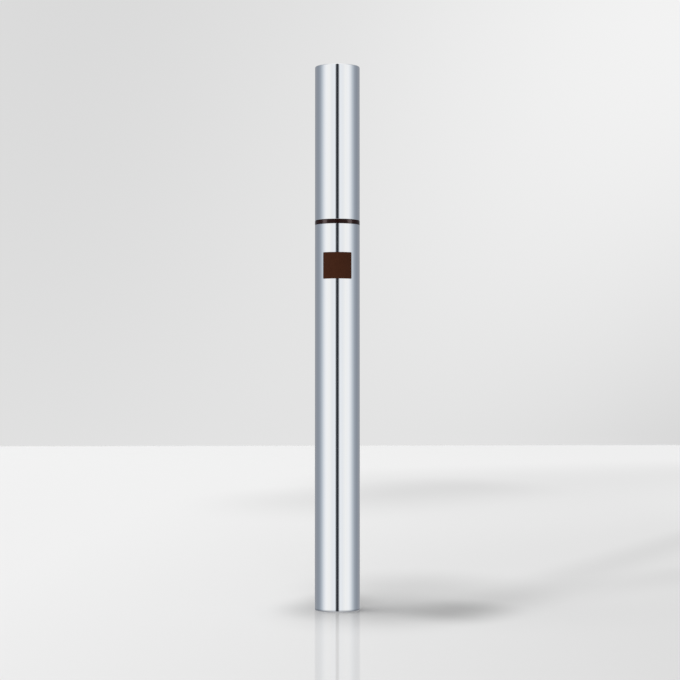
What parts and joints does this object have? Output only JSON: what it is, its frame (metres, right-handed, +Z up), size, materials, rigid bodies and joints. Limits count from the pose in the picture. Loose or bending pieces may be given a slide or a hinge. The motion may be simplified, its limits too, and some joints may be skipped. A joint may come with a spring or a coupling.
{
  "type": "liquid eyeliner pen",
  "caption": "Slim capped liquid eyeliner pen with satin metal shells, a coloured shade ring and label, an ink tank with a finned collector, a fibre nib and a pull-off cap with a sprung inner cap.",
  "frame": {"origin": "centre of the closed end of the barrel, on which the pen stands", "axes": "+Z up the axis of the pen to the closed end of the cap, -Y to the front, where the shade label is"},
  "size_m": [0.011, 0.011, 0.133],
  "materials": {
    "satin_metal": "anodised aluminium, satin with a fine drawn grain",
    "shade_film": "matt brown film",
    "shade_plastic": "gloss, dark brown",
    "clear_plastic": "translucent moulding",
    "natural_plastic": "uncoloured moulding",
    "ball_steel": "polished stainless steel",
    "black_plastic": "moulded black, semi-gloss",
    "white_plastic": "moulded white",
    "stained_fibre": "pressed fibre, stained by the ink",
    "spring_steel": "drawn stainless wire"
  },
  "bodies": {
    "barrel": {"barrel_shell": "satin_metal", "shade_label": "shade_film", "shade_ring": "shade_plastic", "ink_tank": "clear_plastic", "tail_plug": "natural_plastic", "front_section": "black_plastic", "collector": "white_plastic", "relay_core": "stained_fibre", "nib_holder": "white_plastic", "fibre_nib": "stained_fibre"},
    "ball_1": {"mixing_ball_1": "ball_steel"},
    "ball_2": {"mixing_ball_2": "ball_steel"},
    "cap": {"cap_shell": "satin_metal", "cap_liner": "natural_plastic", "inner_cap_spring": "spring_steel"},
    "inner_cap": {"inner_cap": "white_plastic"}
  },
  "joints": [
    {"name": "cap_pull", "type": "slide", "parent": "barrel", "child": "cap", "axis": [0, 0, 1], "range_m": [0, 0.045]},
    {"name": "inner_cap_slide", "type": "slide", "parent": "cap", "child": "inner_cap", "axis": [0, 0, 1], "range_m": [0, 0.003], "stiffness_N_per_m": 200, "deforming": ["inner_cap_spring"]},
    {"name": "ball_1_slide", "type": "slide", "parent": "barrel", "child": "ball_1", "axis": [0, 0, 1], "range_m": [0, 0.0534]},
    {"name": "ball_2_slide", "type": "slide", "parent": "barrel", "child": "ball_2", "axis": [0, 0, 1], "range_m": [0, 0.0534]}
  ]
}
